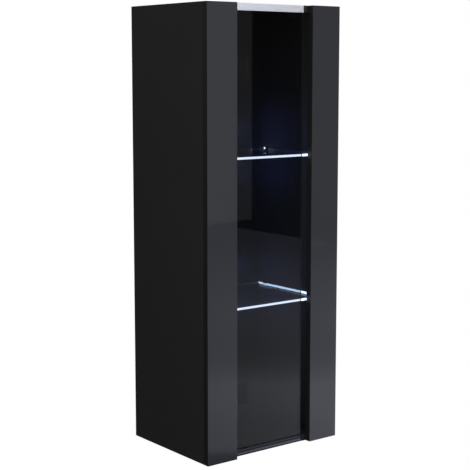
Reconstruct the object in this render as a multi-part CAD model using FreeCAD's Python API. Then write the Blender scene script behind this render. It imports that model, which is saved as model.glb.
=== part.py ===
import FreeCAD, Part
import os

# Hanging wall cabinet, seen from the front along +Y.  Millimetres, +Z up, +X to the right.
# The origin is the middle of the cabinet's footprint, at the level of its underside.
# The front faces -Y and the wall is at +Y.

WIDTH = 400.0
DEPTH = 308.0
HEIGHT = 1070.0
BOARD = 16.0                 # side, top and bottom panels and the two front pillars
PILLAR_WIDTH = 86.5
FRONT = -DEPTH / 2           # front face of the pillars
REAR = DEPTH / 2             # the plane of the wall
CARCASS_FRONT = FRONT + BOARD
INSIDE = WIDTH / 2 - BOARD   # inner face of each side panel, as a distance from the middle
PILLAR_INNER = WIDTH / 2 - PILLAR_WIDTH
ARRIS = 0.8                  # rounding on the lacquered pillars
EDGE_BAND = 0.6

BACK_PANEL = 3.0
BACK_PANEL_FRONT = REAR - 15.5
BACK_PANEL_REAR = BACK_PANEL_FRONT + BACK_PANEL
GROOVE = 6.0
GROOVE_SPARE = 0.5

DOOR_LEFT = -102.5
DOOR_RIGHT = 99.0
DOOR_GLASS = 4.0
RAIL_WALL = 1.0
RAIL_HEIGHT = 16.7
RAIL_FRONT = CARCASS_FRONT + 1.0
GLASS_FRONT = RAIL_FRONT + RAIL_WALL
GLASS_BACK = GLASS_FRONT + DOOR_GLASS
RAIL_BACK = GLASS_BACK + RAIL_WALL
RECESS_RIGHT = DOOR_RIGHT + 1.5
RECESS_BACK = RAIL_BACK + 1.0

HINGE_X = -107.5
HINGE_Y = (GLASS_FRONT + GLASS_BACK) / 2
HINGE_HEIGHTS = (150.0, 920.0)
HINGE_LENGTH = 50.0
HINGE_MIDDLE = 17.0          # the moving knuckle
HINGE_PLAY = 0.4
BARREL_R = 3.5
PIN_R = 1.5
PIN_FIT = 0.04
LEAF = 2.0

SHELF_THICK = 6.0
SHELF_HEIGHTS = {"lower": 354.0, "upper": 712.0}
SHELF_FRONT = FRONT + 34.0
SHELF_BACK = SHELF_FRONT + 255.0
SHELF_HALF = INSIDE - 1.5
SUPPORT_R = 6.5
SUPPORT_REACH = 9.0
SUPPORT_BASE = 1.5
SUPPORT_PIN_R = 2.5
SUPPORT_PIN_DEPTH = 8.0
SUPPORT_Y = (FRONT + 70.0, FRONT + 257.0)

PLAY = 0.05                  # gap round screws, dowels and fittings in their holes
CAM_R = 7.5
CAM_DEPTH = 12.5
CAM_INSET = 34.0
CAM_Y = (FRONT + 60.0, FRONT + 250.0)
DOWEL_R = 4.0
DOWEL_Y = (FRONT + 100.0, FRONT + 210.0)
PILLAR_DOWEL_Z = (120.0, 535.0, 950.0)
BRACKET_Z = (300.0, 770.0)
BRACKET_LEG = 30.0
BRACKET_WIDE = 20.0
BRACKET_THICK = 2.0

HANGER_SIZE = 60.0
HANGER_THICK = 2.0
HANGER_TOP = HEIGHT - 2.0
HANGER_OUTER = WIDTH / 2 - 2.0
KEYHOLE_X = 160.0
KEYHOLE_Z = 1026.0
KEYHOLE_R = 5.0
KEYHOLE_SLOT_R = 2.75
KEYHOLE_RISE = 12.0

CATCH_LEFT = 52.0
CATCH_RIGHT = 92.0
CATCH_FRONT = FRONT + 25.0
CATCH_BACK = FRONT + 43.0
CATCH_DROP = 14.0

CLIP_HALF = 30.0
CLIP_FRONT = SHELF_BACK - 8.0
CLIP_BACK = SHELF_BACK + 3.0
CLIP_TALL = 14.0
CLIP_SLOT = 6.1
LEAD_R = 1.0
LEAD_X = {"lower": 8.0, "upper": -8.0}
LEAD_Y = REAR - 6.0
LEAD_BEND = 6.0
GROMMET_R = 3.0
LEAD_CLIP_Z = (250.0, 480.0, 620.0)

HUB_HALF = 32.0
HUB_BOTTOM = 103.0
HUB_TOP = 137.0
HUB_WALL = 1.5
HUB_COVER = 1.2
HUB_COVER_FRONT = REAR - 2.7
HUB_BOARD = 1.2
TERMINAL_TOP = 128.0


def box(x0, x1, y0, y1, z0, z1):
    """A block between two opposite corners."""
    corner = FreeCAD.Vector(min(x0, x1), min(y0, y1), min(z0, z1))
    return Part.makeBox(abs(x1 - x0), abs(y1 - y0), abs(z1 - z0), corner)


def rod(radius, start, end):
    """A round bar from one point to another."""
    a = FreeCAD.Vector(*start)
    run = FreeCAD.Vector(*end) - a
    return Part.makeCylinder(radius, run.Length, a, run)


def cone(r0, r1, start, end):
    """A tapered round bar from one point to another."""
    a = FreeCAD.Vector(*start)
    run = FreeCAD.Vector(*end) - a
    return Part.makeCone(r0, r1, run.Length, a, run)


def cut(body, tools):
    """A body with holes and recesses taken out of it."""
    for tool in tools:
        body = body.cut(tool)
    return body


def join(pieces):
    """One solid from touching pieces."""
    whole = pieces[0]
    for piece in pieces[1:]:
        whole = whole.fuse(piece)
    return whole.removeSplitter()


def soften(body, radius, chooses):
    """Round the straight edges that chooses() picks."""
    edges = [e for e in body.Edges if chooses(e)]
    return body.makeFillet(radius, edges)


def mirrored(shape):
    """The same piece on the other side of the cabinet."""
    return shape.mirror(FreeCAD.Vector(0, 0, 0), FreeCAD.Vector(1, 0, 0))


def upright(edge):
    """True for an edge that runs straight up."""
    low, high = edge.Vertexes[0].Point, edge.Vertexes[-1].Point
    return abs(low.x - high.x) < 0.01 and abs(low.y - high.y) < 0.01


def save(node, pieces):
    """Write one named sub-part; like pieces share a node as separate solids."""
    shape = pieces[0] if len(pieces) == 1 else Part.makeCompound(pieces)
    if not shape.isValid():
        raise ValueError(node + " isn't a valid shape")
    shape.exportStep("parts/" + node + ".step")
    print(node, len(shape.Solids), round(shape.Volume / 1000.0, 3), "cm3")


def screw_size(length, r=1.75):
    """Shank radius, head radius and head height of a countersunk screw of this length."""
    return r, 2.0 * r, 0.9 * r, length


def screw(size, start, way, play=0.0):
    """A countersunk screw, or its hole when play is given, driven from start along way."""
    shank, head, sink, length = size
    at = FreeCAD.Vector(*start)
    step = FreeCAD.Vector(*way)
    mid = at + step * sink
    tip = at + step * (length + play)
    top = cone(head + play, shank + play, tuple(at), tuple(mid))
    return join([top, rod(shank + play, tuple(mid), tuple(tip))])


def driven(size, start, way):
    """A screw with a shallow cross recess in its head."""
    body = screw(size, start, way)
    at = FreeCAD.Vector(*start)
    step = FreeCAD.Vector(*way)
    arm, half, deep = 0.62 * size[1], 0.35, 0.9
    across = FreeCAD.Vector(0, 0, 1) if abs(step.z) < 0.5 else FreeCAD.Vector(1, 0, 0)
    other = step.cross(across)
    for long_way, thin_way in ((across, other), (other, across)):
        a = at - long_way * arm - thin_way * half
        b = at + long_way * arm + thin_way * half + step * deep
        body = body.cut(box(a.x, b.x, a.y, b.y, a.z, b.z))
    return body


SCREW_SHORT = screw_size(13.0)
SCREW_PLATE = screw_size(12.0)
SCREW_CATCH = screw_size(12.0, 1.5)
SCREW_HUB = screw_size(8.0, 1.1)


# ---------------------------------------------------------------- fittings as positions

def level_panels():
    """Inner face height, direction to the outer face, for the bottom and top panels."""
    return ((BOARD, -1.0), (HEIGHT - BOARD, 1.0))


def cam_places():
    """Every cam as (side, y, inner face height, direction to the outer face)."""
    return [(side, y, z, out) for side in (-1, 1) for y in CAM_Y for z, out in level_panels()]


def dowel_places():
    """Every carcass dowel as (side, y, height)."""
    mids = (BOARD / 2, HEIGHT - BOARD / 2)
    return [(side, y, z) for side in (-1, 1) for y in DOWEL_Y for z in mids]


def pillar_screw_places():
    """Screws of the corner brackets on the left, as (start, way)."""
    legs = []
    for z in BRACKET_Z:
        pillar_leg = (-INSIDE + 20.0, CARCASS_FRONT + BRACKET_THICK, z)
        side_leg = (-INSIDE + BRACKET_THICK, CARCASS_FRONT + 20.0, z)
        legs.append((pillar_leg, (0, -1, 0)))
        legs.append((side_leg, (-1, 0, 0)))
    return legs


def hinge_screw_places():
    """Screws of the hinge leaves on the left pillar, as (start, way)."""
    rows = []
    for z in HINGE_HEIGHTS:
        for x in (-142.0, -124.0):
            for rise in (-16.0, 16.0):
                rows.append(((x, CARCASS_FRONT + LEAF, z + rise), (0, -1, 0)))
    return rows


def hanger_screw_places():
    """Screws of the left hanging plate, as (start, way): two in the side, two in the top."""
    points = [(-WIDTH / 2 + 9.0, z) for z in (1018.0, 1046.0)]
    points += [(x, HEIGHT - 9.0) for x in (-172.0, -148.0)]
    return [((x, REAR, z), (0, -1, 0)) for x, z in points]


def catch_screw_places():
    """Screws of the magnetic catch, up into the top panel, as (start, way)."""
    low = HEIGHT - BOARD - 3.0
    mid = (CATCH_FRONT + CATCH_BACK) / 2
    return [((x, mid, low), (0, 0, 1)) for x in (CATCH_LEFT - 4.0, CATCH_RIGHT + 2.6)]


# ---------------------------------------------------------------- carcass

def side_panel():
    """Left side: chipboard, with its grooves, fitting holes and the hanging plate's recess."""
    outer = -WIDTH / 2
    body = box(outer, -INSIDE, CARCASS_FRONT, REAR, EDGE_BAND, HEIGHT - EDGE_BAND)
    tools = [box(-INSIDE - GROOVE, -INSIDE, BACK_PANEL_FRONT, BACK_PANEL_REAR,
                 BOARD - GROOVE, HEIGHT - BOARD + GROOVE)]
    for side, y, z, out in cam_places():
        if side < 0:
            mid = z + out * BOARD / 2
            tools.append(rod(2.5 + PLAY, (-INSIDE, y, mid), (-INSIDE - 11.5, y, mid)))
    for side, y, z in dowel_places():
        if side < 0:
            tools.append(rod(DOWEL_R + PLAY, (-INSIDE, y, z), (-INSIDE - 11.0, y, z)))
    for height in SHELF_HEIGHTS.values():
        for y in SUPPORT_Y:
            start, end = (-INSIDE, y, height), (-INSIDE - SUPPORT_PIN_DEPTH - 0.5, y, height)
            tools.append(rod(SUPPORT_PIN_R + PLAY, start, end))
    for z in PILLAR_DOWEL_Z:
        start = (outer + BOARD / 2, CARCASS_FRONT, z)
        tools.append(rod(DOWEL_R + PLAY, start, (start[0], CARCASS_FRONT + 19.0, z)))
    for start, way in pillar_screw_places():
        if way[0]:
            tools.append(screw(SCREW_SHORT, start, way, PLAY))
    tools.append(box(-HANGER_OUTER, -INSIDE, REAR - HANGER_THICK, REAR,
                     HANGER_TOP - HANGER_SIZE, HEIGHT - EDGE_BAND))
    for start, way in hanger_screw_places():
        tools.append(screw(SCREW_PLATE, start, way, PLAY))
    return cut(body, tools)


def edge_bands():
    """Thin plastic edging on the two ends of a side panel."""
    outer, inner = -WIDTH / 2, -INSIDE
    return [box(outer, inner, CARCASS_FRONT, REAR, 0, EDGE_BAND),
            box(outer, inner, CARCASS_FRONT, REAR, HEIGHT - EDGE_BAND, HEIGHT)]


def level_panel(inner, out):
    """Bottom or top panel between the sides, with the door's recess along its front."""
    outer = inner + out * BOARD
    body = box(-INSIDE, INSIDE, CARCASS_FRONT, REAR, inner, outer)
    tools = [box(-PILLAR_INNER, RECESS_RIGHT, CARCASS_FRONT, RECESS_BACK, inner, outer),
             box(-INSIDE, INSIDE, BACK_PANEL_FRONT, BACK_PANEL_REAR, inner, inner + out * GROOVE)]
    mid = inner + out * BOARD / 2
    for side, y, z, way in cam_places():
        if way == out:
            x = side * (INSIDE - CAM_INSET)
            tools.append(rod(CAM_R + PLAY, (x, y, inner), (x, y, inner + out * CAM_DEPTH)))
            tools.append(rod(3.0 + PLAY, (side * INSIDE, y, mid), (x, y, mid)))
    for side, y, z in dowel_places():
        if abs(z - mid) < 1.0:
            start, end = (side * INSIDE, y, mid), (side * (INSIDE - 21.0), y, mid)
            tools.append(rod(DOWEL_R + PLAY, start, end))
    return cut(body, tools)


def top_panel():
    """Top panel, also holed for the magnetic catch and recessed for the hanging plates."""
    body = level_panel(HEIGHT - BOARD, 1.0)
    tools = [screw(SCREW_CATCH, start, way, PLAY) for start, way in catch_screw_places()]
    inner = HANGER_OUTER - HANGER_SIZE
    for side in (-1, 1):
        tools.append(box(side * INSIDE, side * inner, REAR - HANGER_THICK, REAR,
                         HEIGHT - BOARD, HANGER_TOP))
        for start, way in hanger_screw_places():
            place = (-side * start[0], start[1], start[2])
            tools.append(screw(SCREW_PLATE, place, way, PLAY))
    return cut(body, tools)


def back_panel():
    """Hardboard back, slid into grooves, with a hole for each shelf light's lead."""
    reach = INSIDE + GROOVE - GROOVE_SPARE
    low = BOARD - GROOVE + GROOVE_SPARE
    body = box(-reach, reach, BACK_PANEL_FRONT, BACK_PANEL_REAR, low, HEIGHT - low)
    tools = []
    for name, z in SHELF_HEIGHTS.items():
        x = LEAD_X[name]
        start, end = (x, BACK_PANEL_FRONT, z), (x, BACK_PANEL_REAR, z)
        tools.append(rod(GROMMET_R + PLAY, start, end))
    return cut(body, tools)


def pillar():
    """Left front pillar: a lacquered board, holed from behind for its dowels and screws."""
    body = box(-WIDTH / 2, -PILLAR_INNER, FRONT, CARCASS_FRONT, 0, HEIGHT)
    body = soften(body, ARRIS, lambda e: upright(e) and e.Vertexes[0].Point.y < FRONT + 1)
    tools = []
    for z in PILLAR_DOWEL_Z:
        start = (-WIDTH / 2 + BOARD / 2, CARCASS_FRONT, z)
        tools.append(rod(DOWEL_R + PLAY, start, (start[0], FRONT + 5.5, z)))
    for start, way in pillar_screw_places():
        if way[1]:
            tools.append(screw(SCREW_SHORT, start, way, PLAY))
    return cut(body, tools)


def pillar_left():
    """The left pillar also carries the door's hinges."""
    holes = [screw(SCREW_SHORT, start, way, PLAY) for start, way in hinge_screw_places()]
    return cut(pillar(), holes)


def pillar_dowels():
    """Beech dowels between a pillar and the side panel's front edge."""
    x = -WIDTH / 2 + BOARD / 2
    return [rod(DOWEL_R, (x, FRONT + 6.0, z), (x, FRONT + 34.0, z)) for z in PILLAR_DOWEL_Z]


def bracket(z):
    """Steel corner bracket between the pillar and the side panel."""
    low, high = z - BRACKET_WIDE / 2, z + BRACKET_WIDE / 2
    x, y = -INSIDE, CARCASS_FRONT
    body = join([box(x, x + BRACKET_LEG, y, y + BRACKET_THICK, low, high),
                 box(x, x + BRACKET_THICK, y, y + BRACKET_LEG, low, high)])
    holes = [screw(SCREW_SHORT, start, way, PLAY)
             for start, way in pillar_screw_places() if start[2] == z]
    return cut(body, holes)


def carcass_dowels():
    """Beech dowels between the sides and the top and bottom panels."""
    return [rod(DOWEL_R, (side * (INSIDE + 10.0), y, z), (side * (INSIDE - 20.0), y, z))
            for side, y, z in dowel_places()]


def cam_bolt(side, y, inner, out):
    """Steel bolt screwed into the side, with its neck and head inside the cam."""
    z = inner + out * BOARD / 2
    cam = INSIDE - CAM_INSET
    return join([rod(2.5, (side * (INSIDE + 11.0), y, z), (side * INSIDE, y, z)),
                 rod(3.0, (side * INSIDE, y, z), (side * (cam + 9.0), y, z)),
                 rod(1.8, (side * (cam + 9.0), y, z), (side * (cam + 3.0), y, z)),
                 rod(3.0, (side * (cam + 3.0), y, z), (side * cam, y, z))])


def cam(side, y, inner, out):
    """Die-cast cam that pulls the bolt's head tight."""
    x = side * (INSIDE - CAM_INSET)
    z = inner + out * BOARD / 2
    body = rod(CAM_R, (x, y, inner), (x, y, inner + out * CAM_DEPTH))
    slot = box(x - side * 0.5, x + side * CAM_R, y - 3.4, y + 3.4, z - 3.4, z + 3.4)
    cross = [box(x - 4.0, x + 4.0, y - 0.6, y + 0.6, inner, inner + out * 1.5),
             box(x - 0.6, x + 0.6, y - 4.0, y + 4.0, inner, inner + out * 1.5)]
    return cut(body, [slot] + cross)


def cam_cap(side, y, inner, out):
    """Press-on plastic cap that hides a cam."""
    x = side * (INSIDE - CAM_INSET)
    body = rod(8.5, (x, y, inner), (x, y, inner - out * 1.2))
    round_edge = [e for e in body.Edges if abs(e.Vertexes[0].Point.z - (inner - out * 1.2)) < 0.01
                  and e.Closed]
    return body.makeFillet(0.6, round_edge)


# ---------------------------------------------------------------- door

def door_glass():
    """Toughened glass pane, its upright edges ground."""
    body = box(DOOR_LEFT, DOOR_RIGHT, GLASS_FRONT, GLASS_BACK, RAIL_WALL, HEIGHT - RAIL_WALL)
    return body.makeChamfer(0.3, [e for e in body.Edges if upright(e)])


def door_rail(outer, way):
    """U section that grips the pane's end, with a fine groove along its front."""
    end = outer + way * RAIL_HEIGHT
    body = join([box(DOOR_LEFT, DOOR_RIGHT, RAIL_FRONT, GLASS_FRONT, outer, end),
                 box(DOOR_LEFT, DOOR_RIGHT, GLASS_FRONT, GLASS_BACK, outer, outer + way * RAIL_WALL),
                 box(DOOR_LEFT, DOOR_RIGHT, GLASS_BACK, RAIL_BACK, outer, end)])
    near = outer + way * (RAIL_HEIGHT - 3.4)
    far = outer + way * (RAIL_HEIGHT - 2.2)
    groove = box(DOOR_LEFT, DOOR_RIGHT, RAIL_FRONT, RAIL_FRONT + 0.4, near, far)
    return cut(body, [groove])


def knuckle(low, high):
    """One turn of a hinge's barrel, bored for the pin."""
    start, end = (HINGE_X, HINGE_Y, low), (HINGE_X, HINGE_Y, high)
    return rod(BARREL_R, start, end), rod(PIN_R + PIN_FIT, start, end)


def hinge_fixed(z):
    """Leaf on the pillar's back face with the two outer knuckles."""
    half, mid = HINGE_LENGTH / 2, HINGE_MIDDLE / 2 + HINGE_PLAY
    y = CARCASS_FRONT
    parts = [box(-152.0, -PILLAR_INNER - 1.5, y, y + LEAF, z - half, z + half)]
    bores = []
    for low, high in ((z - half, z - mid), (z + mid, z + half)):
        parts.append(box(-PILLAR_INNER - 1.5, HINGE_X, y + 0.5, y + LEAF, low, high))
        barrel, bore = knuckle(low, high)
        parts.append(barrel)
        bores.append(bore)
    holes = [screw(SCREW_SHORT, start, way, PLAY)
             for start, way in hinge_screw_places() if abs(start[2] - z) < half]
    return cut(join(parts), bores + holes)


def hinge_moving(z):
    """Leaf bonded to the back of the glass with the middle knuckle."""
    half, mid = HINGE_LENGTH / 2, HINGE_MIDDLE / 2
    barrel, bore = knuckle(z - mid, z + mid)
    neck = box(HINGE_X, DOOR_LEFT + 1.0, GLASS_BACK, HINGE_Y + BARREL_R, z - mid, z + mid)
    leaf = box(DOOR_LEFT + 1.0, DOOR_LEFT + 38.0, GLASS_BACK, GLASS_BACK + LEAF, z - half, z + half)
    return cut(join([leaf, neck, barrel]), [bore])


def hinge_pin(z):
    """Steel pin with a thin head at its top."""
    half = HINGE_LENGTH / 2
    return join([rod(PIN_R, (HINGE_X, HINGE_Y, z - half), (HINGE_X, HINGE_Y, z + half)),
                 rod(2.6, (HINGE_X, HINGE_Y, z + half), (HINGE_X, HINGE_Y, z + half + 1.0))])


def catch_housing():
    """Moulded body of the magnetic catch under the top panel, with two screw ears."""
    top = HEIGHT - BOARD
    low = top - CATCH_DROP
    body = box(CATCH_LEFT, CATCH_RIGHT, CATCH_FRONT, CATCH_BACK, low, top)
    body = soften(body, 1.5, lambda e: upright(e))
    ears = [box(CATCH_LEFT - 8.0, CATCH_LEFT + 1.0, CATCH_FRONT + 3.0, CATCH_BACK - 3.0, top - 3.0, top),
            box(CATCH_RIGHT - 1.0, CATCH_RIGHT + 6.2, CATCH_FRONT + 3.0, CATCH_BACK - 3.0, top - 3.0, top)]
    pocket = box(CATCH_LEFT + 5.0, CATCH_RIGHT - 5.0, CATCH_FRONT, CATCH_BACK - 2.0, low + 2.5, top - 2.5)
    holes = [screw(SCREW_CATCH, start, way, PLAY) for start, way in catch_screw_places()]
    return cut(join([body] + ears), [pocket] + holes)


def catch_magnet():
    """Flat magnet between the two pole plates."""
    top = HEIGHT - BOARD
    return box(CATCH_LEFT + 5.5, CATCH_RIGHT - 5.5, CATCH_FRONT + 1.0, CATCH_BACK - 2.5,
               top - CATCH_DROP + 4.0, top - 4.0)


def catch_poles():
    """Steel pole plates, standing a little out of the catch towards the strike plate."""
    top = HEIGHT - BOARD
    left, right = CATCH_LEFT + 5.5, CATCH_RIGHT - 5.5
    front, back = RAIL_BACK + 0.2, CATCH_BACK - 2.5
    low = top - CATCH_DROP + 2.5
    return [box(left, right, front, back, low, low + 1.5),
            box(left, right, front, back, top - 4.0, top - 2.5)]


def strike_plate():
    """Steel plate bonded to the back of the glass, opposite the magnet."""
    top = HEIGHT - RAIL_HEIGHT - 0.3
    body = box(CATCH_LEFT + 3.0, CATCH_RIGHT - 3.0, GLASS_BACK, RAIL_BACK, top - 13.0, top)
    return soften(body, 2.0, lambda e: abs(e.Length - RAIL_WALL) < 0.01)


def door_bumper(z):
    """Soft dot that the closed door meets."""
    return rod(4.0, (90.0, RECESS_BACK, z), (90.0, RAIL_BACK + 0.1, z))


# ---------------------------------------------------------------- shelves and their lights

def glass_shelf(z):
    """Glass shelf with softened edges."""
    body = box(-SHELF_HALF, SHELF_HALF, SHELF_FRONT, SHELF_BACK, z - SHELF_THICK / 2, z + SHELF_THICK / 2)
    return body.makeChamfer(0.4, [e for e in body.Edges if not upright(e)])


def shelf_support(side, y, z):
    """Round metal support with a slot that grips the shelf's edge and a pin in the side."""
    wall = side * INSIDE
    body = rod(SUPPORT_R, (wall, y, z), (side * (INSIDE - SUPPORT_REACH), y, z))
    rim = [e for e in body.Edges if e.Closed and abs(e.Vertexes[0].Point.x - wall) > SUPPORT_BASE]
    body = body.makeFillet(0.8, rim)
    slot = box(side * (INSIDE - SUPPORT_BASE), side * (INSIDE - 2 * SUPPORT_REACH),
               y - 2 * SUPPORT_R, y + 2 * SUPPORT_R, z - SHELF_THICK / 2, z + SHELF_THICK / 2)
    pin = rod(SUPPORT_PIN_R, (wall, y, z), (side * (INSIDE + SUPPORT_PIN_DEPTH), y, z))
    return join([body.cut(slot), pin])


def light_clip(z, lead_x):
    """Plastic shoe on the shelf's rear edge that holds the light strip."""
    body = box(-CLIP_HALF, CLIP_HALF, CLIP_FRONT, CLIP_BACK, z - CLIP_TALL / 2, z + CLIP_TALL / 2)
    body = soften(body, 2.0, lambda e: upright(e))
    slot = box(-CLIP_HALF, CLIP_HALF, CLIP_FRONT, SHELF_BACK, z - CLIP_SLOT / 2, z + CLIP_SLOT / 2)
    bay = box(-22.0, 22.0, SHELF_BACK, SHELF_BACK + 2.0, z - 2.8, z + 2.8)
    hole = rod(LEAD_R + PLAY, (lead_x, SHELF_BACK + 2.0, z), (lead_x, CLIP_BACK, z))
    return cut(body, [slot, bay, hole])


def light_lens(z):
    """Clear strip between the lamps and the glass edge."""
    return box(-21.9, 21.9, SHELF_BACK + 0.05, SHELF_BACK + 0.95, z - 2.7, z + 2.7)


def light_board(z):
    """Narrow circuit board with three small lamps on its front."""
    board = box(-21.9, 21.9, SHELF_BACK + 1.3, SHELF_BACK + 2.0, z - 2.7, z + 2.7)
    lamps = [box(x - 1.6, x + 1.6, SHELF_BACK + 1.0, SHELF_BACK + 1.3, z - 1.6, z + 1.6)
             for x in (-14.0, 0.0, 14.0)]
    return join([board] + lamps)


def light_lead(x, z):
    """Thin lead from a light, through the back panel and down to the junction box."""
    start = SHELF_BACK + 2.0
    turn = LEAD_Y - LEAD_BEND
    low = z - LEAD_BEND
    middle = LEAD_BEND * 0.5 ** 0.5
    bend = Part.Arc(FreeCAD.Vector(x, turn, z),
                    FreeCAD.Vector(x, turn + middle, z - LEAD_BEND + middle),
                    FreeCAD.Vector(x, LEAD_Y, low))
    run_in = Part.LineSegment(FreeCAD.Vector(x, start, z), FreeCAD.Vector(x, turn, z))
    run_down = Part.LineSegment(FreeCAD.Vector(x, LEAD_Y, low), FreeCAD.Vector(x, LEAD_Y, TERMINAL_TOP))
    path = Part.Wire([run_in.toShape(), bend.toShape(), run_down.toShape()])
    ring = Part.makeCircle(LEAD_R, FreeCAD.Vector(x, start, z), FreeCAD.Vector(0, 1, 0))
    tube = path.makePipeShell([Part.Wire([ring])], True, True)
    wanted = 3.14159 * LEAD_R ** 2 * path.Length
    if abs(tube.Volume - wanted) > 0.02 * wanted:
        raise ValueError("the lead's volume is off")
    return tube


def grommet(x, z):
    """Rubber ring where a lead passes the back panel."""
    body = join([rod(GROMMET_R, (x, BACK_PANEL_FRONT, z), (x, BACK_PANEL_REAR, z)),
                 rod(GROMMET_R + 1.5, (x, BACK_PANEL_REAR, z), (x, BACK_PANEL_REAR + 1.2, z))])
    return body.cut(rod(LEAD_R + PLAY, (x, BACK_PANEL_FRONT, z), (x, BACK_PANEL_REAR + 1.2, z)))


def lead_clip(z):
    """Stick-on clip that holds the leads against the back panel."""
    body = box(-13.0, 13.0, BACK_PANEL_REAR, LEAD_Y + 2.0, z - 4.0, z + 4.0)
    body = soften(body, 1.5, lambda e: upright(e) and e.Vertexes[0].Point.y > LEAD_Y)
    holes = [rod(LEAD_R + PLAY, (x, LEAD_Y, z - 4.0), (x, LEAD_Y, z + 4.0)) for x in LEAD_X.values()]
    return cut(body, holes)


# ---------------------------------------------------------------- junction box

def hub_posts():
    """Middles of the junction box's two screw posts, as (x, z)."""
    mid = (HUB_BOTTOM + HUB_TOP) / 2
    return [(side * (HUB_HALF - 6.0), mid) for side in (-1, 1)]


def hub_box():
    """Moulded junction box behind the back panel, open to the rear."""
    y0, y1 = BACK_PANEL_REAR, HUB_COVER_FRONT
    body = box(-HUB_HALF, HUB_HALF, y0, y1, HUB_BOTTOM, HUB_TOP)
    body = soften(body, 2.0, lambda e: abs(e.Length - (y1 - y0)) < 0.01)
    inside = box(-HUB_HALF + HUB_WALL, HUB_HALF - HUB_WALL, y0 + HUB_WALL, y1,
                 HUB_BOTTOM + HUB_WALL, HUB_TOP - HUB_WALL)
    body = body.cut(inside)
    posts = [rod(3.0, (x, y0 + HUB_WALL, z), (x, y1, z)) for x, z in hub_posts()]
    pads = [box(x - 3.0, x + 3.0, y0 + HUB_WALL, hub_board_front(), z - 3.0, z + 3.0)
            for x in (-14.0, 14.0) for z in (HUB_BOTTOM + 5.0, HUB_TOP - 5.0)]
    holes = [rod(LEAD_R + PLAY, (x, LEAD_Y, HUB_TOP - HUB_WALL), (x, LEAD_Y, HUB_TOP))
             for x in LEAD_X.values()]
    holes += [screw(SCREW_HUB, (x, REAR - 1.5, z), (0, -1, 0), PLAY) for x, z in hub_posts()]
    holes.append(box(-4.6, 4.6, LEAD_Y - 3.6, HUB_COVER_FRONT, HUB_BOTTOM, HUB_BOTTOM + HUB_WALL))
    return cut(join([body] + posts + pads), holes)


def hub_board_front():
    """Where the junction box's circuit board begins."""
    return BACK_PANEL_REAR + HUB_WALL + 1.0


def hub_board():
    """Circuit board that joins the leads to the supply."""
    front = hub_board_front()
    return box(-20.0, 20.0, front, front + HUB_BOARD, HUB_BOTTOM + 13.0, HUB_TOP - 2.0)


def hub_terminals():
    """Terminal block of each lead, on the board."""
    front = hub_board_front() + HUB_BOARD
    return [box(x - 4.0, x + 4.0, front, LEAD_Y + 1.6, TERMINAL_TOP - 7.0, TERMINAL_TOP)
            for x in LEAD_X.values()]


def power_inlet():
    """Low-voltage socket in the underside of the junction box."""
    body = box(-4.5, 4.5, LEAD_Y - 3.5, LEAD_Y + 3.2, HUB_BOTTOM, HUB_BOTTOM + 11.5)
    bore = rod(2.75, (0, LEAD_Y, HUB_BOTTOM), (0, LEAD_Y, HUB_BOTTOM + 9.0))
    contact = rod(0.9, (0, LEAD_Y, HUB_BOTTOM + 1.5), (0, LEAD_Y, HUB_BOTTOM + 9.5))
    return join([body.cut(bore), contact])


def hub_cover():
    """Flat cover screwed over the junction box."""
    y0, y1 = HUB_COVER_FRONT, HUB_COVER_FRONT + HUB_COVER
    body = box(-HUB_HALF, HUB_HALF, y0, y1, HUB_BOTTOM, HUB_TOP)
    body = soften(body, 2.0, lambda e: abs(e.Length - HUB_COVER) < 0.01)
    return cut(body, [screw(SCREW_HUB, (x, REAR - 1.5, z), (0, -1, 0), PLAY) for x, z in hub_posts()])


# ---------------------------------------------------------------- hanging plates

def hanging_plate():
    """Left steel plate let into the rear edges, with a keyhole for the wall screw."""
    outer, inner = -HANGER_OUTER, -HANGER_OUTER + HANGER_SIZE
    low = HANGER_TOP - HANGER_SIZE
    body = box(outer, inner, REAR - HANGER_THICK, REAR, low, HANGER_TOP)
    corner = Part.makePolygon([FreeCAD.Vector(inner, REAR, low), FreeCAD.Vector(inner - 20.0, REAR, low),
                               FreeCAD.Vector(inner, REAR, low + 20.0), FreeCAD.Vector(inner, REAR, low)])
    wedge = Part.Face(corner).extrude(FreeCAD.Vector(0, -HANGER_THICK, 0))
    y0, y1 = REAR - HANGER_THICK, REAR
    top = KEYHOLE_Z + KEYHOLE_RISE
    keyhole = join([rod(KEYHOLE_R, (-KEYHOLE_X, y0, KEYHOLE_Z), (-KEYHOLE_X, y1, KEYHOLE_Z)),
                    rod(KEYHOLE_SLOT_R, (-KEYHOLE_X, y0, top), (-KEYHOLE_X, y1, top)),
                    box(-KEYHOLE_X - KEYHOLE_SLOT_R, -KEYHOLE_X + KEYHOLE_SLOT_R, y0, y1, KEYHOLE_Z, top)])
    holes = [screw(SCREW_PLATE, start, way, PLAY) for start, way in hanger_screw_places()]
    return cut(body, [wedge, keyhole] + holes)


# ---------------------------------------------------------------- write every sub-part

def both(piece_or_list):
    """A left-hand piece, or list of pieces, with its right-hand twin."""
    pieces = piece_or_list if isinstance(piece_or_list, list) else [piece_or_list]
    return pieces + [mirrored(p) for p in pieces]


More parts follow.
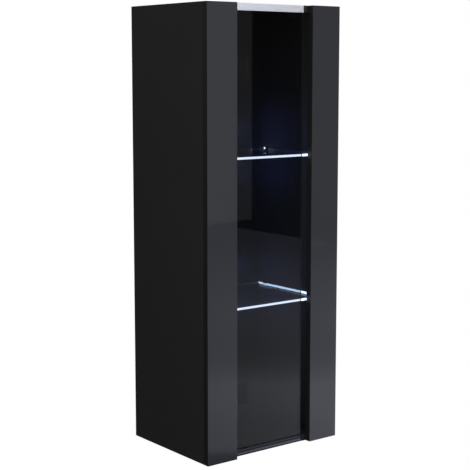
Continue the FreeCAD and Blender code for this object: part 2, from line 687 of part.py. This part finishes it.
def write_carcass():
    """Panels, pillars and what joins them."""
    side = side_panel()
    save("side_panel_left", [side])
    save("side_panel_right", [mirrored(side)])
    save("side_edge_bands", both(edge_bands()))
    save("bottom_panel", [level_panel(BOARD, -1.0)])
    save("top_panel", [top_panel()])
    save("back_panel", [back_panel()])
    save("front_pillar_left", [pillar_left()])
    save("front_pillar_right", [mirrored(pillar())])
    save("pillar_dowels", both(pillar_dowels()))
    save("pillar_brackets", both([bracket(z) for z in BRACKET_Z]))
    save("bracket_screws", both([driven(SCREW_SHORT, *place) for place in pillar_screw_places()]))
    save("carcass_dowels", carcass_dowels())
    save("cam_bolts", [cam_bolt(*place) for place in cam_places()])
    save("cam_discs", [cam(*place) for place in cam_places()])
    save("cam_cover_caps", [cam_cap(*place) for place in cam_places()])
    save("hanging_plates", both(hanging_plate()))
    save("hanging_plate_screws", both([driven(SCREW_PLATE, *place) for place in hanger_screw_places()]))


def write_door():
    """The glass door, its hinges and its catch."""
    save("door_glass", [door_glass()])
    save("door_top_rail", [door_rail(HEIGHT, -1.0)])
    save("door_bottom_rail", [door_rail(0.0, 1.0)])
    save("hinge_leaves_fixed", [hinge_fixed(z) for z in HINGE_HEIGHTS])
    save("hinge_leaves_moving", [hinge_moving(z) for z in HINGE_HEIGHTS])
    save("hinge_pins", [hinge_pin(z) for z in HINGE_HEIGHTS])
    save("hinge_screws", [driven(SCREW_SHORT, *place) for place in hinge_screw_places()])
    save("catch_housing", [catch_housing()])
    save("catch_magnet", [catch_magnet()])
    save("catch_pole_plates", catch_poles())
    save("catch_screws", [driven(SCREW_CATCH, *place) for place in catch_screw_places()])
    save("strike_plate", [strike_plate()])
    save("door_bumpers", [door_bumper(z) for z in (BOARD / 2, HEIGHT - BOARD / 2)])


def write_shelves():
    """Each shelf with its supports and its light."""
    for name, z in SHELF_HEIGHTS.items():
        save("glass_shelf_" + name, [glass_shelf(z)])
        save("shelf_supports_" + name, [shelf_support(side, y, z) for side in (-1, 1) for y in SUPPORT_Y])
        save("light_clip_" + name, [light_clip(z, LEAD_X[name])])
        save("light_lens_" + name, [light_lens(z)])
        save("light_board_" + name, [light_board(z)])
        save("light_lead_" + name, [light_lead(LEAD_X[name], z)])
    save("lead_grommets", [grommet(LEAD_X[name], z) for name, z in SHELF_HEIGHTS.items()])
    save("lead_clips", [lead_clip(z) for z in LEAD_CLIP_Z])


def write_junction_box():
    """The box where the light leads meet the supply."""
    save("junction_box", [hub_box()])
    save("junction_box_cover", [hub_cover()])
    save("junction_board", [hub_board()])
    save("junction_terminals", hub_terminals())
    save("junction_box_screws", [driven(SCREW_HUB, (x, REAR - 1.5, z), (0, -1, 0)) for x, z in hub_posts()])
    save("power_inlet", [power_inlet()])


os.makedirs("parts", exist_ok=True)
write_carcass()
write_door()
write_shelves()
write_junction_box()
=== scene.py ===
import math

import bmesh
import bpy
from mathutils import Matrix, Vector


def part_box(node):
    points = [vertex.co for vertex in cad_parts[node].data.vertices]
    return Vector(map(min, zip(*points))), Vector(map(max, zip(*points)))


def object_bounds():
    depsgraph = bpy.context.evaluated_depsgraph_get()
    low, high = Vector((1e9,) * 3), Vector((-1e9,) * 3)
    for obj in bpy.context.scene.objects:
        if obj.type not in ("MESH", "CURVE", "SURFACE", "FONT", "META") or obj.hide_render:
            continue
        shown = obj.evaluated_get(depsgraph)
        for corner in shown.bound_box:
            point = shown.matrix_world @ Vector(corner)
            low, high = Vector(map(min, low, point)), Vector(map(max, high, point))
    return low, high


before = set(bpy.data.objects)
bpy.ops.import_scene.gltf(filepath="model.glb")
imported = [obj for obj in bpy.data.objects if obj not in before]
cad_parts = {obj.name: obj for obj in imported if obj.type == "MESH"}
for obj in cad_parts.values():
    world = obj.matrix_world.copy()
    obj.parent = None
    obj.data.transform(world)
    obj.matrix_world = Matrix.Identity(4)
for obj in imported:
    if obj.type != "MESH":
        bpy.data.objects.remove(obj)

cad_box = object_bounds()


# ---- Carcass boards -------------------------------------------------------------------
# The two sides, the top and the bottom are chipboard faced with matt black melamine.
# They are sawn to size and joined at the corners, and thin plastic edging is glued to
# the sawn ends of the sides.

class Strand:
    """A value on its way through a finish; sums written on it become its nodes."""

    def __init__(self, finish, socket):
        self.finish = finish
        self.socket = socket

    def step(self, operation, first, second=0.0):
        return self.finish.node("Math", {"operation": operation}, {0: first, 1: second})

    def __add__(self, other):
        return self.step("ADD", self, other)

    def __sub__(self, other):
        return self.step("SUBTRACT", self, other)

    def __rsub__(self, other):
        return self.step("SUBTRACT", other, self)

    def __mul__(self, other):
        return self.step("MULTIPLY", self, other)

    def __truediv__(self, other):
        return self.step("DIVIDE", self, other)

    def __pow__(self, other):
        return self.step("POWER", self, other)

    def __gt__(self, other):
        return self.step("GREATER_THAN", self, other)

    def __lt__(self, other):
        return self.step("LESS_THAN", self, other)

    def __abs__(self):
        return self.step("ABSOLUTE", self)

    __radd__ = __add__
    __rmul__ = __mul__

    def kept(self, least, most):
        """Kept between two limits."""
        return self.step("MINIMUM", self.step("MAXIMUM", self, least), most)

    def clamped(self):
        """Kept between 0 and 1."""
        return self.kept(0.0, 1.0)

    def folded(self, pitch):
        """Rising from 0 to 1 over one pitch and falling again over the next."""
        return self.step("PINGPONG", self, pitch) / pitch


class Finish:
    """The nodes of one finish, or of the studio's surround."""

    def __init__(self, name, kind="materials"):
        self.owner = getattr(bpy.data, kind).new(name)
        self.owner.use_nodes = True
        self.tree = self.owner.node_tree
        self.tree.nodes.clear()

    def node(self, kind, settings, sockets, out=0):
        """Add a node: its settings first, then the values or links of its sockets."""
        made = self.tree.nodes.new("ShaderNode" + kind)
        for name, value in settings.items():
            if name == "stops":
                ramp = made.color_ramp.elements
                while len(ramp) < len(value):
                    ramp.new(1.0)
                for stop, (place, level) in zip(ramp, value):
                    stop.position = place
                    stop.color = (level, level, level, 1.0)
            else:
                setattr(made, name, value)
        for name, value in sockets.items():
            if isinstance(value, Strand):
                self.tree.links.new(value.socket, made.inputs[name])
            else:
                made.inputs[name].default_value = value
        return Strand(self, made.outputs[out]) if made.outputs else None

    def point(self, stretch=(1.0, 1.0, 1.0)):
        """Where the surface is, in metres, with each axis stretched."""
        place = self.node("TexCoord", {}, {}, "Object")
        return self.node("VectorMath", {"operation": "MULTIPLY"}, {0: place, 1: stretch})

    def along(self, axis):
        """How far along one axis the surface is, in metres."""
        return self.node("SeparateXYZ", {}, {0: self.point()}, axis)

    def facing(self, axis):
        """How far the surface faces along one axis of its own piece, from -1 to 1."""
        normal = self.node("TexCoord", {}, {}, "Normal")
        return self.node("SeparateXYZ", {}, {0: normal}, axis)

    def noise(self, scale, detail=2.0, stretch=(1.0, 1.0, 1.0)):
        """Cloudy variation round 0.5, with so many lumps to the metre."""
        return self.node("TexNoise", {}, {"Vector": self.point(stretch), "Scale": scale,
                                          "Detail": detail}, "Fac")

    def mix(self, share, first, second):
        """A colour between two, by share."""
        share_in, first_in, second_in, colour_out = 0, 6, 7, 2
        sockets = {share_in: share, first_in: first, second_in: second}
        return self.node("Mix", {"data_type": "RGBA"}, sockets, colour_out)

    def relief(self, height, depth):
        """Surface relief: a height from 0 to 1 over a depth in metres."""
        return self.node("Bump", {}, {"Height": height, "Distance": depth, "Strength": 1.0})

    def solid(self, sockets):
        """An opaque surface."""
        return self.node("BsdfPrincipled", {}, sockets)

    def blend(self, share, first, second):
        """A surface between two, by share."""
        return self.node("MixShader", {}, {0: share, 1: first, 2: second})

    def done(self, surface):
        """Close the finish with its surface."""
        self.node("OutputMaterial", {}, {"Surface": surface})
        return self.owner


def grey(level, blue=1.0):
    """An even grey, a little blue if asked."""
    return (level, level, level * blue, 1.0)


def dress(finish, *nodes):
    """Give CAD nodes a finish."""
    for name in nodes:
        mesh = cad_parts[name].data
        mesh.materials.clear()
        mesh.materials.append(finish)


def melamine():
    """Matt black with a fine pearl pressed into it and a faint unevenness of tone."""
    f = Finish("melamine")
    pearl = f.noise(1400.0, 3.0)
    cloud = f.noise(7.0, 3.0)
    tone = (pearl * 0.35 + cloud * 0.65).clamped()
    return f.done(f.solid({
        "Base Color": f.mix(tone, grey(0.0145), grey(0.0190, 1.01)),
        "Roughness": 0.46 + pearl * 0.16,
        "Specular IOR Level": 0.18,
        "Normal": f.relief(pearl, depth=0.00005),
    }))


def edging():
    """The edging is a touch smoother than the boards, with faint lines from its scraper."""
    f = Finish("edging")
    lines = f.noise(240.0, 2.0, (1.0, 0.02, 1.0))
    return f.done(f.solid({
        "Base Color": f.mix(lines, grey(0.013), grey(0.018)),
        "Roughness": 0.36 + lines * 0.12,
        "Specular IOR Level": 0.22,
        "Normal": f.relief(lines, depth=0.00002),
    }))


dress(melamine(), "side_panel_left", "side_panel_right", "top_panel", "bottom_panel")
dress(edging(), "side_edge_bands")


# ---- Back panel -----------------------------------------------------------------------
# Thin hardboard, painted black on its good side and slid into grooves in the boards.
# Its rear is left raw, a brown felt of pressed fibres.

def hardboard():
    """Pressed fibres: painted black in front, left raw brown behind."""
    f = Finish("hardboard")
    upright = f.noise(520.0, 4.0, (1.0, 1.0, 0.25))
    level = f.noise(520.0, 4.0, (0.25, 1.0, 1.0))
    fibre = upright * 0.5 + level * 0.5
    rear = f.facing("Y") > 0.5
    paint = f.mix(fibre, grey(0.0165), grey(0.0210))
    felt = f.mix((fibre * 2.2 - 0.6).clamped(), (0.080, 0.048, 0.026, 1.0), (0.235, 0.150, 0.086, 1.0))
    return f.done(f.solid({
        "Base Color": f.mix(rear, paint, felt),
        "Roughness": 0.55 + fibre * 0.25,
        "Specular IOR Level": 0.2,
        "Normal": f.relief(fibre * rear, depth=0.0001),
    }))


dress(hardboard(), "back_panel")


# ---- Front pillars --------------------------------------------------------------------
# Two fibreboard pillars stand proud on the front. Their faces are high-gloss black
# lacquer, and their narrow edges are finished matt, in a darker tone that is painted shade.

def pillar_lacquer():
    """Deep gloss with the slight ripple of a polished coat; matt on the edges, in a darker tone that is
    painted shade.
    """
    f = Finish("pillar_lacquer")
    gloss = ((-0.55 - f.facing("Y")) * 8.0).clamped()
    gloss_rough = 0.045
    ripple = f.noise(55.0, 1.0)
    pearl = f.noise(1400.0, 3.0)
    cloud = f.noise(5.0, 2.0)
    face = f.mix(cloud, (0.0218, 0.0224, 0.0265, 1.0), (0.0242, 0.0249, 0.0294, 1.0))
    # Painted shade: the edges are given a darker tone than the carcass boards.
    edge = f.mix(pearl, grey(0.0080), grey(0.0112, 1.04))
    return f.done(f.solid({
        "Base Color": f.mix(gloss, edge, face),
        "Roughness": (1.0 - gloss) * (0.34 + pearl * 0.12) + gloss * gloss_rough,
        "Normal": f.relief(ripple * gloss, depth=0.00002),
    }))


dress(pillar_lacquer(), "front_pillar_left", "front_pillar_right")


# ---- Joints of the carcass ------------------------------------------------------------
# Beech dowels line the boards up, die-cast cams pull zinc-plated bolts tight, plastic
# caps hide the cams, and black steel corner brackets screwed inside hold the pillars.

def beech():
    """Pale beech with grain along the dowel and small dark flecks."""
    f = Finish("beech")
    grain = f.noise(300.0, 3.0, (0.15, 1.0, 1.0))
    fleck = (f.noise(900.0, 1.0, (0.3, 1.0, 1.0)) > 0.66) * 0.5
    return f.done(f.solid({
        "Base Color": f.mix((grain + fleck).clamped(), (0.62, 0.43, 0.26, 1.0), (0.40, 0.25, 0.13, 1.0)),
        "Roughness": 0.55 + grain * 0.2,
        "Normal": f.relief(grain, depth=0.00008),
    }))


def zinc_plate():
    """Bright zinc with a cloudy passivated bloom."""
    f = Finish("zinc_plate")
    bloom = f.noise(220.0, 3.0)
    return f.done(f.solid({
        "Base Color": f.mix(bloom, (0.55, 0.57, 0.60, 1.0), (0.72, 0.71, 0.64, 1.0)),
        "Metallic": 1.0,
        "Roughness": 0.26 + bloom * 0.16,
    }))


def die_cast():
    """Grey casting with a fine orange-peel skin."""
    f = Finish("die_cast")
    skin = f.noise(900.0, 2.0)
    return f.done(f.solid({
        "Base Color": f.mix(skin, grey(0.34, 1.03), grey(0.50, 1.03)),
        "Metallic": 1.0,
        "Roughness": 0.40 + skin * 0.2,
        "Normal": f.relief(skin, depth=0.00006),
    }))


def moulded_black(name, tone, rough):
    """Black moulded plastic with a spark-eroded grain."""
    f = Finish(name)
    grain = f.noise(2200.0, 2.0)
    cloud = f.noise(60.0, 1.0)
    return f.done(f.solid({
        "Base Color": f.mix(cloud, grey(tone * 0.85, 1.05), grey(tone * 1.25, 1.05)),
        "Roughness": rough + grain * 0.15,
        "Specular IOR Level": 0.15,
        "Normal": f.relief(grain, depth=0.00004),
    }))


def coated_steel(name, tone):
    """Satin black powder coat."""
    f = Finish(name)
    skin = f.noise(1500.0, 2.0)
    return f.done(f.solid({
        "Base Color": f.mix(skin, grey(tone * 0.8), grey(tone * 1.25)),
        "Roughness": 0.38 + skin * 0.16,
        "Specular IOR Level": 0.15,
        "Normal": f.relief(skin, depth=0.00003),
    }))


zinc = zinc_plate()
black_steel = coated_steel("black_steel", 0.0146)
black_moulding = moulded_black("black_moulding", 0.006, 0.48)
dress(beech(), "pillar_dowels", "carcass_dowels")
dress(die_cast(), "cam_discs")
dress(zinc, "cam_bolts", "bracket_screws")
dress(black_moulding, "cam_cover_caps")
dress(black_steel, "pillar_brackets")


# ---- Glass door -----------------------------------------------------------------------
# One toughened pane closes the whole height between the pillars. A brushed aluminium
# section grips its top end and a dark anodised one its bottom end.

def door_pane():
    """Faintly grey glass with a thin reflection; its ground edges are dark and frosted."""
    f = Finish("door_pane")
    rim = abs(f.facing("Y")) < 0.6
    square_on, grazing = 0.03, 0.9
    turned = f.node("LayerWeight", {}, {"Blend": 0.5}, "Facing")
    shine = (turned ** 5.0) * grazing + square_on
    clear = f.node("BsdfTransparent", {}, {"Color": (0.63, 0.635, 0.64, 1.0)})
    mirror = f.node("BsdfGlossy", {}, {"Color": grey(1.0), "Roughness": 0.012})
    frost = f.noise(1800.0, 2.0)
    ground = f.solid({
        "Base Color": f.mix(frost, (0.007, 0.0085, 0.011, 1.0), (0.013, 0.016, 0.021, 1.0)),
        "Roughness": 0.28 + frost * 0.14,
    })
    return f.done(f.blend(rim, f.blend(shine, clear, mirror), ground))


def brushed(name, dull, bright, rough, painted_bands):
    """Anodised aluminium brushed along its length, with painted reflection and painted shade in bands
    across its height.

    The painted bands say how light it is from its lower edge, 0, to its upper edge, 1.
    """
    f = Finish(name)
    low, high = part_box(name)
    height = (f.along("Z") - low.z) / (high.z - low.z)
    # Painted reflection and painted shade: the rail is made lighter and darker in bands across its
    # height.
    painted_reflection = f.node("ValToRGB", {"stops": painted_bands}, {0: height})
    fine = f.noise(1700.0, 3.0, (0.012, 1.0, 1.0))
    broad = f.noise(420.0, 2.0, (0.02, 1.0, 1.0))
    lines = fine * 0.6 + broad * 0.4
    return f.done(f.solid({
        "Base Color": f.mix(painted_reflection, dull, f.mix(lines, dull, bright)),
        "Metallic": 1.0,
        "Roughness": rough + lines * 0.10,
        "Normal": f.relief(fine, depth=0.000012),
    }))


dress(door_pane(), "door_glass")
# Each rail's dark tone, light tone, roughness, and painted bands of reflection and shade across its
# height.
RAILS = {
    "door_top_rail": ((0.69, 0.72, 0.82, 1.0), (0.93, 0.95, 1.0, 1.0), 0.34,
                      ((0.0, 0.75), (0.08, 1.0), (0.92, 1.0), (1.0, 0.55))),
    "door_bottom_rail": ((0.040, 0.042, 0.050, 1.0), (0.46, 0.465, 0.52, 1.0), 0.26,
                         ((0.0, 0.0), (0.14, 0.0), (0.20, 0.9), (0.40, 0.9), (0.50, 0.4), (0.56, 0.0),
                          (0.66, 0.0), (0.72, 0.5), (0.86, 0.5), (0.92, 0.0), (1.0, 0.0))),
}
for rail, (dull, bright, rough, painted_bands) in RAILS.items():
    dress(brushed(rail, dull, bright, rough, painted_bands), rail)


# ---- Hinges and catch -----------------------------------------------------------------
# Black steel leaves, one screwed behind the pillar and one bonded to the glass, turn on
# a bright pin. A magnet between two pole plates in a plastic housing pulls a black strike
# plate at the door's free edge, which rests on soft dots.

def bright_steel():
    """Drawn steel with fine turning marks round it."""
    f = Finish("bright_steel")
    rings = f.noise(1400.0, 2.0, (0.1, 0.1, 1.0))
    return f.done(f.solid({
        "Base Color": f.mix(rings, grey(0.42, 1.02), grey(0.60, 1.02)),
        "Metallic": 1.0,
        "Roughness": 0.22 + rings * 0.14,
        "Normal": f.relief(rings, depth=0.00001),
    }))


def soft_dot():
    """Clear soft plastic, a little milky."""
    f = Finish("soft_dot")
    haze = f.noise(500.0, 2.0)
    return f.done(f.solid({
        "Base Color": f.mix(haze, grey(0.42, 1.03), grey(0.55, 1.03)),
        "Roughness": 0.30 + haze * 0.2,
    }))


def ferrite():
    """Ground grey-black magnet."""
    f = Finish("ferrite")
    grind = f.noise(800.0, 3.0, (0.1, 1.0, 1.0))
    return f.done(f.solid({
        "Base Color": f.mix(grind, grey(0.035), grey(0.075)),
        "Roughness": 0.42 + grind * 0.2,
        "Normal": f.relief(grind, depth=0.00003),
    }))


dress(black_steel, "hinge_leaves_fixed", "hinge_leaves_moving")
dress(coated_steel("strike_coat", 0.0035), "strike_plate")
dress(bright_steel(), "hinge_pins", "catch_pole_plates")
dress(zinc, "hinge_screws", "catch_screws")
dress(black_moulding, "catch_housing")
dress(ferrite(), "catch_magnet")
dress(soft_dot(), "door_bumpers")


# ---- Glass shelves --------------------------------------------------------------------
# Two 6 mm shelves whose rear edges are lit, so that light travels through the glass and
# leaves at its other edges, white at the front and bluer at the sides. Each lies on four
# satin chrome supports pushed into the side boards.

def lit_glass(name, side_glow, rear_glow):
    """Clear faces with a faint haze of light at the front, and glowing edges."""
    f = Finish(name)
    low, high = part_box(name)
    skin = 0.0004
    haze_at_front = 0.06
    square_on, grazing = 0.01, 0.22
    at_front = f.along("Y") < low.y + skin
    at_side = abs(f.along("X")) > high.x - skin
    level = abs(f.facing("Z")) > 0.6
    drift = f.noise(14.0, 2.0)
    fleck = f.noise(260.0, 2.0)
    front = f.mix(drift, (1.75, 2.05, 2.50, 1.0), (2.20, 2.40, 2.75, 1.0))
    glow = f.mix(at_front, f.mix(at_side, rear_glow, side_glow), front)
    edge = f.solid({
        "Base Color": f.mix(fleck, (0.010, 0.014, 0.016, 1.0), (0.018, 0.024, 0.028, 1.0)),
        "Roughness": 0.22 + fleck * 0.1,
        "Emission Color": glow,
        "Emission Strength": 1.0,
    })
    depth = (f.along("Y") - low.y) / (high.y - low.y)
    haze = ((1.0 - depth).clamped() ** 12.0) * haze_at_front
    turned = f.node("LayerWeight", {}, {"Blend": 0.5}, "Facing")
    shine = (turned ** 5.0) * grazing + square_on
    clear = f.node("BsdfTransparent", {}, {"Color": (0.93, 0.965, 0.975, 1.0)})
    mirror = f.node("BsdfGlossy", {}, {"Color": grey(1.0), "Roughness": 0.015})
    mist = f.node("Emission", {}, {"Color": (0.20, 0.40, 1.0, 1.0), "Strength": 1.0})
    face = f.blend(haze, f.blend(shine, clear, mirror), mist)
    return f.done(f.blend(level, edge, face))


def satin_chrome():
    """Satin plate with a faint violet cast and fine brushing."""
    f = Finish("satin_chrome")
    brush = f.noise(1500.0, 2.0, (1.0, 0.2, 1.0))
    return f.done(f.solid({
        "Base Color": f.mix(brush, (0.62, 0.62, 0.70, 1.0), (0.78, 0.78, 0.86, 1.0)),
        "Metallic": 1.0,
        "Roughness": 0.24 + brush * 0.14,
    }))


# Each shelf's glow at its sides and at its rear; the lower one is given far more than the upper one.
GLOWS = {"glass_shelf_lower": ((1.35, 1.85, 2.50, 1.0), (0.010, 0.017, 0.034, 1.0)),
         "glass_shelf_upper": ((0.014, 0.022, 0.050, 1.0), (0.005, 0.008, 0.018, 1.0))}
for shelf, (side_glow, rear_glow) in GLOWS.items():
    dress(lit_glass(shelf, side_glow, rear_glow), shelf)
dress(satin_chrome(), "shelf_supports_lower", "shelf_supports_upper")


# ---- Shelf lights and their leads -----------------------------------------------------
# A plastic shoe on each shelf's rear edge holds a board of three lamps behind a clear
# strip. Thin leads run down behind the back panel in stick-on clips.

def lamp_strip():
    """Clear strip, bright where a lamp stands behind it."""
    f = Finish("lamp_strip")
    half_pitch = 0.007
    lamps = 1.0 - f.along("X").folded(half_pitch)
    return f.done(f.solid({
        "Base Color": grey(0.6, 1.1),
        "Roughness": 0.2 + lamps * 0.05,
        "Emission Color": f.mix(lamps, (0.25, 0.45, 0.9, 1.0), (0.9, 1.2, 1.6, 1.0)),
        "Emission Strength": 1.0,
    }))


def circuit_green():
    """Solder resist over copper tracks, with faint tracks showing."""
    f = Finish("circuit_green")
    tracks = f.noise(380.0, 0.0, (1.0, 1.0, 0.2)) > 0.52
    return f.done(f.solid({
        "Base Color": f.mix(tracks, (0.010, 0.070, 0.030, 1.0), (0.020, 0.120, 0.055, 1.0)),
        "Roughness": 0.25 + tracks * 0.1,
    }))


def sheath():
    """Thin flexible sheath of the leads."""
    f = Finish("sheath")
    haze = f.noise(300.0, 2.0)
    return f.done(f.solid({
        "Base Color": f.mix(haze, grey(0.018), grey(0.032)),
        "Roughness": 0.36 + haze * 0.14,
    }))


def rubber():
    """Dull black rubber."""
    f = Finish("rubber")
    bloom = f.noise(700.0, 2.0)
    return f.done(f.solid({
        "Base Color": f.mix(bloom, grey(0.020), grey(0.036)),
        "Roughness": 0.62 + bloom * 0.2,
    }))


circuit = circuit_green()
dress(black_moulding, "light_clip_lower", "light_clip_upper", "lead_clips")
dress(lamp_strip(), "light_lens_lower", "light_lens_upper")
dress(circuit, "light_board_lower", "light_board_upper")
dress(sheath(), "light_lead_lower", "light_lead_upper")
dress(rubber(), "lead_grommets")


# ---- Junction box ---------------------------------------------------------------------
# A small moulded box on the back panel's rear joins both leads to a low-voltage inlet.

def natural_nylon():
    """Off-white terminal plastic."""
    f = Finish("natural_nylon")
    haze = f.noise(400.0, 2.0)
    return f.done(f.solid({
        "Base Color": f.mix(haze, (0.56, 0.56, 0.50, 1.0), (0.68, 0.68, 0.62, 1.0)),
        "Roughness": 0.42 + haze * 0.12,
    }))


dress(moulded_black("box_moulding", 0.030, 0.36), "junction_box", "junction_box_cover", "power_inlet")
dress(circuit, "junction_board")
dress(natural_nylon(), "junction_terminals")
dress(zinc, "junction_box_screws")


# ---- Hanging plates -------------------------------------------------------------------
# Two zinc-plated steel plates with keyholes, let into the rear edges of the side boards
# and screwed to them, take the wall screws' heads.

dress(zinc, "hanging_plates", "hanging_plate_screws")


# ---- Studio ---------------------------------------------------------------------------
# The cabinet hangs clear of a plain pale floor, in a white surround. Tall soft lights
# stand ahead of it and a large one behind, a bright ceiling is above, and small lights
# inside stand in for what the shelves throw. The camera is ahead and to its left.

def pale_floor():
    """Pale floor: white where it is seen, and dimmer with distance where it is mirrored.

    The levels say how bright it is at each distance in metres.
    """
    f = Finish("pale_floor")
    reach = 12.0
    levels = ((2.52, 0.0), (2.60, 0.62), (3.0, 0.66), (3.3, 0.76), (3.7, 0.82), (4.0, 0.58), (4.3, 0.44),
              (4.7, 0.40), (5.5, 0.42), (6.6, 0.34), (7.6, 0.26), (8.7, 0.18), (reach, 0.12))
    away = f.node("VectorMath", {"operation": "LENGTH"}, {0: f.point()}, "Value")
    stops = [(metres / reach, level) for metres, level in levels]
    glow = f.node("ValToRGB", {"stops": stops}, {0: away / reach})
    ahead = (-0.5 - f.along("Y")).clamped()
    aside = abs(f.along("X") / f.along("Y"))
    spread = (aside * 1.9 - 0.37).kept(0.75, 1.45)
    tinted = f.mix(glow * ahead * spread, grey(0.0), (0.95, 0.97, 1.08, 1.0))
    seen = f.node("LightPath", {}, {}, "Is Camera Ray")
    return f.done(f.node("Emission", {}, {"Color": f.mix(seen, tinted, grey(1.0)), "Strength": 1.0}))


def studio_floor():
    """A flat sheet well below the cabinet, wider to its left and ahead of it."""
    drop, left, right, ahead, behind = 0.80, -9.0, 6.25, -13.0, 6.0
    shape = bmesh.new()
    corners = [(left, ahead), (right, ahead), (right, behind), (left, behind)]
    shape.faces.new([shape.verts.new((x, y, 0.0)) for x, y in corners])
    mesh = bpy.data.meshes.new("studio_floor")
    shape.to_mesh(mesh)
    shape.free()
    mesh.materials.append(pale_floor())
    floor = bpy.data.objects.new("studio_floor", mesh)
    floor.location.z = -drop
    floor.visible_diffuse = False
    bpy.context.scene.collection.objects.link(floor)


def soft_light(name, place, target, size, brightness, colour=(1.0, 1.0, 1.0), mirrored=True):
    """A rectangular light, unseen by the camera, turned to a target."""
    lamp = bpy.data.lights.new(name, "AREA")
    lamp.shape = "RECTANGLE"
    lamp.size, lamp.size_y = size
    lamp.energy = brightness * math.pi * size[0] * size[1]
    lamp.color = colour
    light = bpy.data.objects.new(name, lamp)
    light.location = place
    light.rotation_euler = (Vector(target) - Vector(place)).to_track_quat("-Z", "Y").to_euler()
    light.visible_camera = False
    light.visible_glossy = mirrored
    bpy.context.scene.collection.objects.link(light)


def card(name, left, right, low, high, brightness, behind=False):
    """An upright soft light three metres ahead of the cabinet or behind it, facing it squarely."""
    away = 3.0
    y = cad_box[1].y + away if behind else cad_box[0].y - away
    middle = Vector(((left + right) / 2, y, (low + high) / 2))
    facing = Vector((0.0, -1.0 if behind else 1.0, 0.0))
    soft_light(name, middle, middle + facing, (right - left, high - low), brightness)


def surround():
    """White to the camera; soft on matt boards; in gloss, dark below a bright ceiling."""
    f = Finish("surround", "worlds")
    bpy.context.scene.world = f.owner
    direction = f.node("TexCoord", {}, {}, "Generated")
    height = f.node("SeparateXYZ", {}, {0: direction}, "Z")
    ceiling = ((height - 0.14) * 2.6).clamped()
    mirrored = f.mix(ceiling, grey(0.015), grey(1.0))
    path = f.node("LightPath", {}, {}, "Is Glossy Ray")
    light = f.mix(path, (0.30, 0.305, 0.315, 1.0), mirrored)
    seen = f.node("LightPath", {}, {}, "Is Camera Ray")
    sky = f.node("Background", {}, {"Color": f.mix(seen, light, grey(1.0))})
    f.node("OutputWorld", {}, {"Surface": sky})


def camera():
    """Camera ahead and to the left, a little below the top, turned slightly down."""
    down, right = math.radians(7.337), math.radians(37.647)
    lens = bpy.data.cameras.new("camera")
    lens.sensor_width = 36.0
    lens.lens = 91.74
    lens.shift_y = -0.02
    eye = bpy.data.objects.new("camera", lens)
    eye.location = (-1.7986, -2.3291, 0.9144)
    eye.rotation_euler = (math.pi / 2 - down, 0.0, -right)
    bpy.context.scene.collection.objects.link(eye)
    bpy.context.scene.camera = eye


studio_floor()
surround()

# Each card's left, right, low and high edge in metres, and how bright it is.
card("tall_light", 0.7, 2.2105, 0.093, 2.6, 0.36)
card("narrow_light", 2.2105, 2.341, 0.093, 2.6, 0.165)
card("side_light", 2.70, 3.10, -0.09, 1.45, 0.15)
card("high_light", 0.4, 2.9, 1.55, 3.4, 2.6)
card("rear_light", -0.2, 2.1, -0.5, 2.5, 0.7, behind=True)

WHITE, DAYLIGHT = (1.0, 1.0, 1.0), (0.97, 0.98, 1.0)
SPARKLE, SHELF_BLUE = (0.80, 0.80, 1.0), (0.18, 0.26, 1.0)
for name, place in (("left_fill", (-1.8, -2.3, 0.9)), ("right_fill", (1.8, -2.3, 0.9)),
                    ("rear_fill", (0.0, 2.9, 1.3))):
    soft_light(name, place, (0.0, 0.0, 0.55), (1.2, 1.2), 9.5, DAYLIGHT, False)

# A sparkle on the end of the upper shelf's rear right support.
low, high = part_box("shelf_supports_upper")
end = Vector((high.x - 0.009, high.y - 0.0065, (low.z + high.z) / 2))
soft_light("support_light", end + Vector((-0.030, 0.026, 0.004)), end, (0.012, 0.012), 10.0, SPARKLE)

# A weak light over the right-hand board, and the blue glow over and under each shelf's end.
soft_light("inner_fill", (-0.09, -0.09, 0.56), (0.184, 0.06, 0.56), (0.14, 0.95), 1.6, WHITE, False)
inward, rearward = 0.085, 0.080
for shelf in GLOWS:
    low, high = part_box(shelf)
    for side, rise in (("over", 0.052), ("under", -0.052)):
        place = (high.x - inward, rearward, (low.z + high.z) / 2 + rise)
        soft_light("_".join((side, shelf)), place, (high.x, rearward, place[2]), (0.09, 0.02), 24.0,
                   SHELF_BLUE, False)
camera()

scene = bpy.context.scene
scene.view_settings.view_transform = "Standard"
scene.cycles.transparent_max_bounces = 24
scene.cycles.denoising_input_passes = "RGB"
